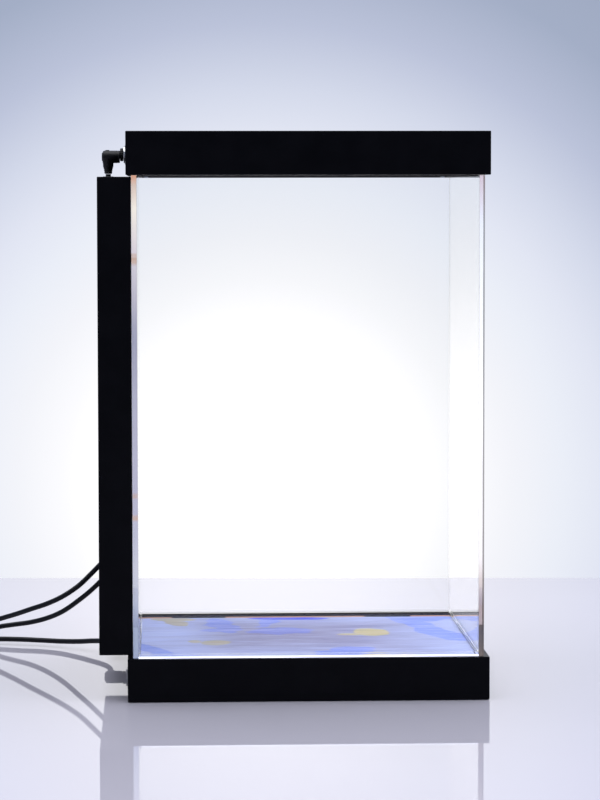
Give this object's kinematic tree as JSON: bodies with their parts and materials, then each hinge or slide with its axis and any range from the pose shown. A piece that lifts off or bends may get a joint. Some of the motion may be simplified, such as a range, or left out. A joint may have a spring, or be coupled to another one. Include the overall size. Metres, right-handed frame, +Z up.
{
  "type": "aquarium on stand",
  "caption": "Tall clear glass tank between a black lighting stand and a black lift-off hood, with a black light column on its left and elbow-plugged leads at the rear.",
  "frame": {"origin": "centre of the stand's underside, on the surface that it stands on", "axes": "+Z up, +Y to the back, +X to the right seen from the front, so the light column is on the -X side"},
  "size_m": [0.6915, 0.6634, 0.628],
  "materials": {
    "satin_black": "satin black powder coat, slightly glossy",
    "dark_frame": "matt very dark brown",
    "glass": "clear polished float glass with ground edges",
    "silicone": "clear silicone",
    "floor_print": "lavender blue panel with pale brushed streaks, blue and yellow patches",
    "opal": "opal white light cover",
    "circuit": "white light board",
    "aluminium": "plain sheet",
    "steel": "plain sheet and screws",
    "bright_metal": "bright nickel plate",
    "rubber": "black rubber",
    "pad": "brown bonding pad",
    "connector_black": "black moulded plastic",
    "supply_case": "dark grey case",
    "cable": "black flexible jacket"
  },
  "bodies": {
    "tank_and_stand": {"stand_shell": "satin_black", "column_housing": "satin_black", "left_pane": "glass", "right_pane": "glass", "front_pane": "glass", "back_pane": "glass", "bottom_pane": "glass", "front_left_seam": "silicone", "front_right_seam": "silicone", "back_left_seam": "silicone", "back_right_seam": "silicone", "bottom_seam": "silicone", "floor_panel": "floor_print", "stand_diffuser": "opal", "column_light_cover": "opal", "stand_light_board": "circuit", "column_light_board": "circuit", "stand_base_plate": "steel", "stand_inlet_socket": "bright_metal", "column_inlet_socket": "bright_metal", "stand_levelling_mat": "rubber", "column_foot_front": "rubber", "column_foot_back": "rubber", "column_top_grommet": "rubber", "column_rear_gland": "rubber", "column_pad_lower": "pad", "column_pad_upper": "pad", "stand_inlet_flange": "connector_black", "column_inlet_flange": "connector_black", "control_cable_end_connector": "connector_black", "stand_power_supply": "supply_case", "column_power_supply": "supply_case", "control_cable": "cable", "control_cable_coil": "cable"},
    "hood": {"hood_shell": "satin_black", "hood_frame": "dark_frame", "hood_diffuser": "opal", "hood_light_board": "circuit", "hood_heat_spreader": "aluminium", "hood_power_supply": "supply_case", "hood_screw_1": "steel", "hood_screw_2": "steel", "hood_screw_3": "steel", "hood_screw_4": "steel", "hood_inlet_flange": "connector_black", "hood_inlet_socket": "bright_metal", "hood_plug_elbow": "connector_black", "hood_lead": "cable"},
    "hood_nut": {"hood_plug_nut": "bright_metal"},
    "stand_plug": {"stand_plug_elbow": "connector_black", "stand_cable": "cable", "stand_cable_coil": "cable", "stand_cable_end_connector": "connector_black"},
    "stand_nut": {"stand_plug_nut": "bright_metal"},
    "column_plug": {"column_plug_elbow": "connector_black", "column_cable": "cable", "column_cable_coil": "cable", "column_cable_end_connector": "connector_black"},
    "column_nut": {"column_plug_nut": "bright_metal"}
  },
  "joints": [
    {"name": "hood_lift", "type": "slide", "parent": "tank_and_stand", "child": "hood", "axis": [0, 0, 1], "range_m": [0, 0.12]},
    {"name": "hood_nut_turn", "type": "hinge", "parent": "hood", "child": "hood_nut", "pos_m": [-0.2, 0.134, 0.6056], "axis": [-1, 0, 0], "continuous": true},
    {"name": "stand_plug_pull", "type": "slide", "parent": "tank_and_stand", "child": "stand_plug", "axis": [-1, 0, 0], "range_m": [0, 0.012]},
    {"name": "stand_nut_turn", "type": "hinge", "parent": "stand_plug", "child": "stand_nut", "pos_m": [-0.2, 0.134, 0.0215], "axis": [-1, 0, 0], "continuous": true},
    {"name": "column_plug_pull", "type": "slide", "parent": "tank_and_stand", "child": "column_plug", "axis": [0, 1, 0], "range_m": [0, 0.012]},
    {"name": "column_nut_turn", "type": "hinge", "parent": "column_plug", "child": "column_nut", "pos_m": [-0.2128, 0.188, 0.1302], "axis": [0, 1, 0], "continuous": true}
  ]
}
